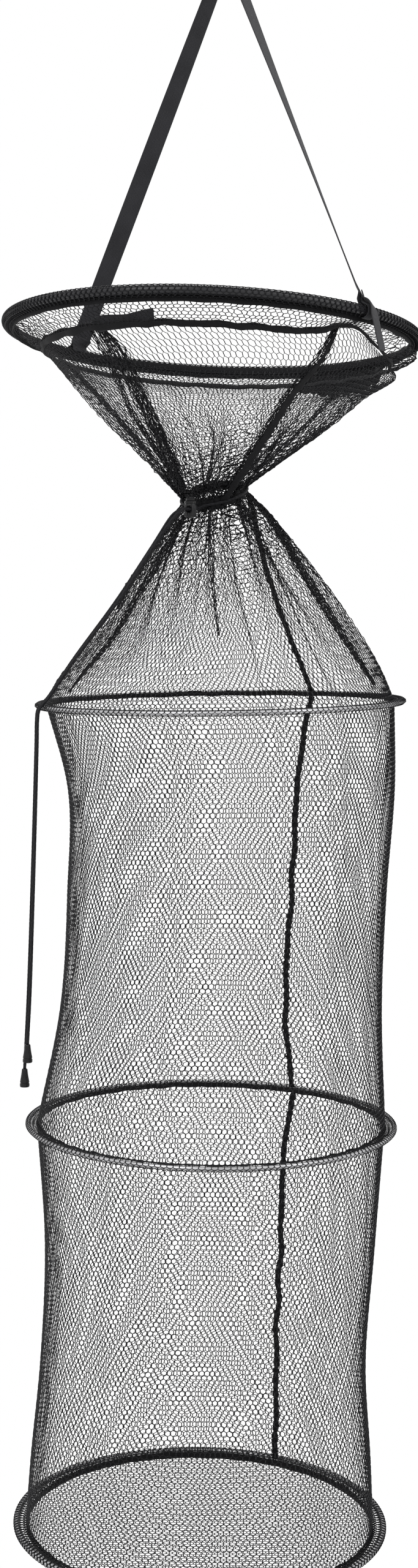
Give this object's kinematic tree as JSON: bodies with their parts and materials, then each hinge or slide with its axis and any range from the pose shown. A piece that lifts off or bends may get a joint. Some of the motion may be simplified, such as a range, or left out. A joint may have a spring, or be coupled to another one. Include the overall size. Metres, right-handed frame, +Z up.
{
  "type": "keep net",
  "caption": "Tall hooped keep net hung from a webbing strap: netting mouth drawn in to a corded waist with a cord lock, then a deep netting tube held open by thin hoops, with a netting base",
  "frame": {"origin": "underside of the strap's top bend, where the net hangs", "axes": "+Z up along the hanging net, -Y towards the side with the cord lock, +X to the right seen from that side"},
  "size_m": [0.4533, 0.452, 1.6878],
  "materials": {
    "mesh": "black knotless netting",
    "webbing": "black woven webbing",
    "tape": "black sewn binding tape",
    "hoop_tube": "bright metal tube",
    "coated_tube": "glossy black coated tube",
    "cord": "black braided cord",
    "plastic": "moulded black plastic",
    "spring_steel": "bright spring wire"
  },
  "bodies": {
    "strap": {"strap": "webbing"},
    "mouth": {"mouth_hoop": "coated_tube", "mouth_pocket": "mesh", "cuff_net": "mesh", "cuff_hem": "tape", "hem_tape_tail": "webbing", "cuff_patch": "webbing", "strap_end_left": "webbing", "strap_end_right": "webbing", "strap_tail": "webbing"},
    "waist": {"upper_cone_net": "mesh", "waist_channel": "tape", "drawcord_loop": "cord"},
    "cord_lock": {"cord_lock_barrel": "plastic", "cord_lock_spring": "spring_steel"},
    "lock_button": {"cord_lock_plunger": "plastic"},
    "hoop_2": {"lower_cone_net": "mesh", "lower_cone_seam": "tape", "hoop_2_ring": "hoop_tube", "hoop_2_pocket": "mesh", "hoop_2_tape": "tape", "drawcord_run_1": "cord", "drawcord_run_2": "cord", "drawcord_tail_1": "cord", "drawcord_tail_2": "cord", "cord_bell_1": "plastic", "cord_bell_2": "plastic"},
    "hoop_3": {"upper_wall_net": "mesh", "upper_wall_seam": "tape", "hoop_3_ring": "hoop_tube", "hoop_3_pocket": "mesh", "hoop_3_tape": "tape"},
    "hoop_4": {"lower_wall_net": "mesh", "lower_wall_seam": "tape", "hoop_4_ring": "hoop_tube", "hoop_4_pocket": "mesh", "hoop_4_tape": "tape", "base_net": "mesh"}
  },
  "joints": [
    {"name": "strap_swing", "type": "hinge", "parent": "strap", "child": "mouth", "pos_m": [-0.01516, 0.00027, -0.37444], "axis": [0.7093, -0.7041, 0.0341], "range_deg": [-80, 80]},
    {"name": "waist_lift", "type": "slide", "parent": "mouth", "child": "waist", "axis": [-0.0115, 0, 0.9999], "range_m": [0, 0.14], "deforming": ["upper_cone_net"]},
    {"name": "cord_lock_slide", "type": "slide", "parent": "waist", "child": "cord_lock", "axis": [-0.454, -0.891, 0], "range_m": [0, 0.008]},
    {"name": "plunger_press", "type": "slide", "parent": "cord_lock", "child": "lock_button", "axis": [0, 0, -1], "range_m": [0, 0.0025], "stiffness_N_per_m": 300, "springref_m": -0.002, "deforming": ["cord_lock_spring"]},
    {"name": "hoop_2_lift", "type": "slide", "parent": "waist", "child": "hoop_2", "axis": [-0.03, 0, 0.9996], "range_m": [0, 0.19], "deforming": ["lower_cone_net", "lower_cone_seam", "drawcord_run_1", "drawcord_run_2"]},
    {"name": "hoop_3_lift", "type": "slide", "parent": "hoop_2", "child": "hoop_3", "axis": [0.0219, 0, 0.9998], "range_m": [0, 0.42], "deforming": ["upper_wall_net", "upper_wall_seam"]},
    {"name": "hoop_4_lift", "type": "slide", "parent": "hoop_3", "child": "hoop_4", "axis": [0.0285, 0, 0.9996], "range_m": [0, 0.4], "deforming": ["lower_wall_net", "lower_wall_seam"]}
  ]
}
